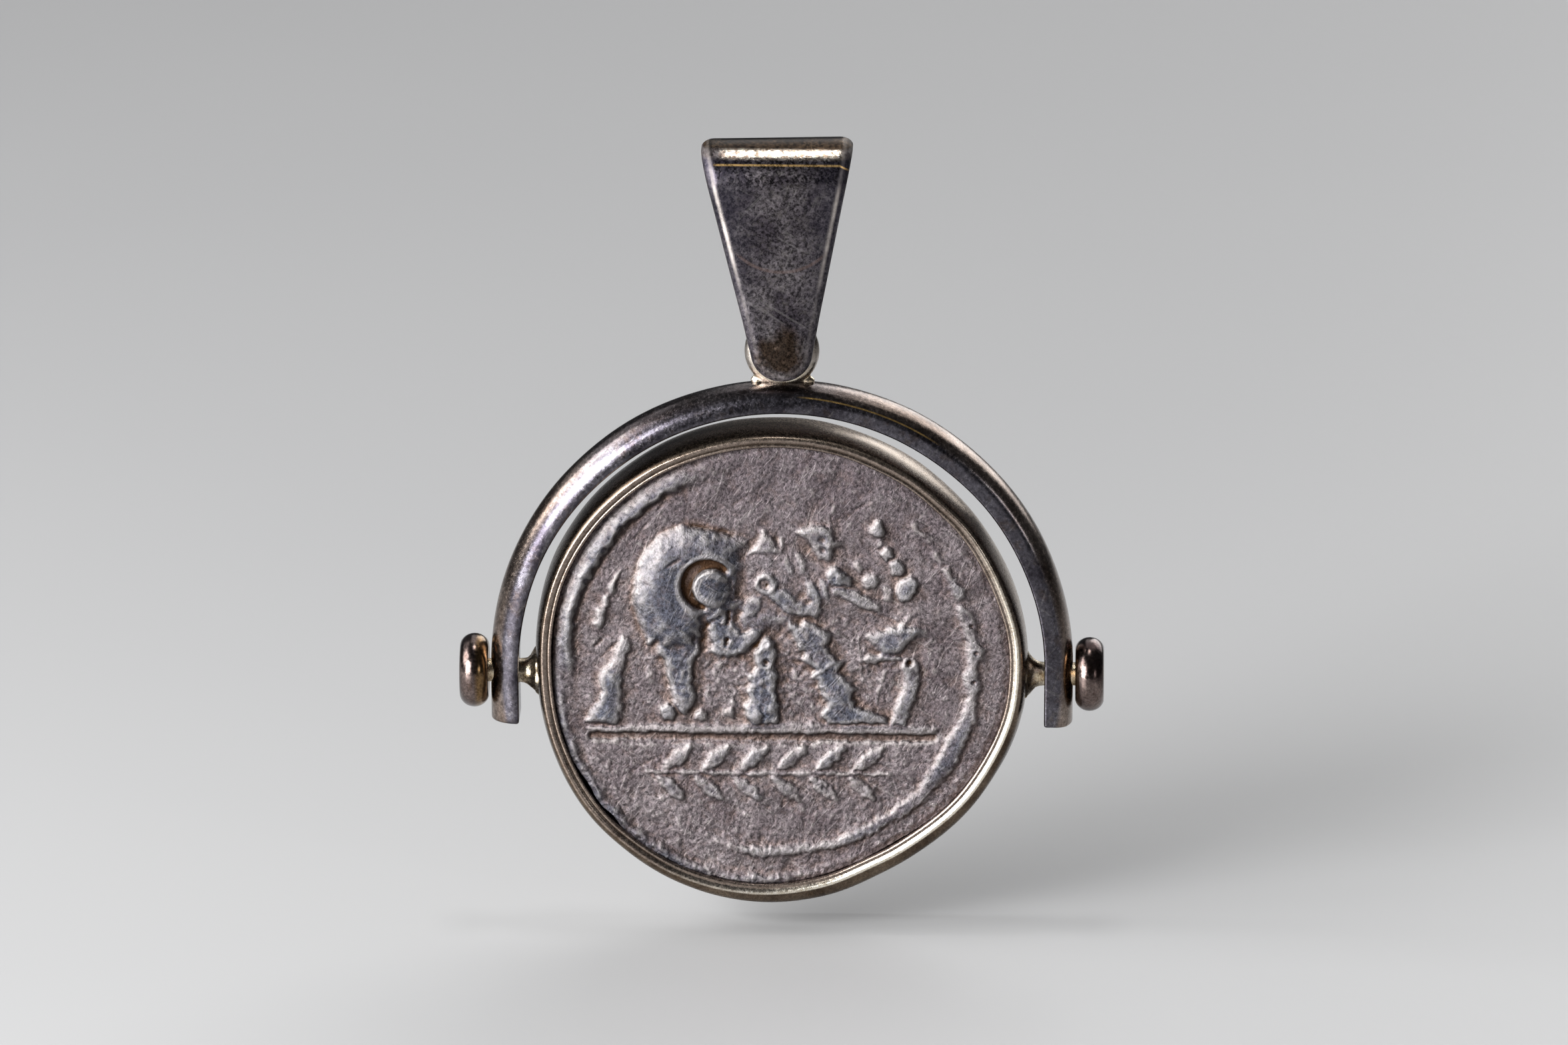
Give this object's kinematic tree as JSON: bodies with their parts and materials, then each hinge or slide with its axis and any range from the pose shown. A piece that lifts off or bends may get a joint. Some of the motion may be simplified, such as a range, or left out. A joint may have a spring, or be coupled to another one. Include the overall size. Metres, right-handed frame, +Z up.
{
  "type": "coin pendant",
  "caption": "Worn silver coin in a bulged bezel that flips over on two posts inside a U-shaped yoke, hung from a folded, tapered bail.",
  "frame": {"origin": "inside top of the bail, where a chain or cord lies", "axes": "+X to the right as the coin's figured side is looked at, +Y away from the viewer, +Z up"},
  "size_m": [0.0261, 0.0034, 0.0315],
  "materials": {
    "bail": "dark tarnished silver with polished edges",
    "yoke": "tarnished silver, brighter where rubbed",
    "bezel": "burnished silver with golden solder at the posts",
    "knob_left": "polished silver gone brown in the hollows",
    "knob_right": "polished silver gone brown in the hollows",
    "coin": "worn, toned struck silver"
  },
  "bodies": {
    "bail": {"bail": "bail"},
    "yoke": {"yoke": "yoke"},
    "flip_frame": {"bezel": "bezel", "knob_left": "knob_left", "knob_right": "knob_right", "coin": "coin"}
  },
  "joints": [
    {"name": "bail_swing", "type": "hinge", "parent": "bail", "child": "yoke", "pos_m": [0.00019, 0, -0.00765], "axis": [0, 1, 0], "range_deg": [-85, 85]},
    {"name": "coin_spin", "type": "hinge", "parent": "yoke", "child": "flip_frame", "pos_m": [0.00019, 0, -0.02153], "axis": [1, 0, 0], "continuous": true}
  ]
}
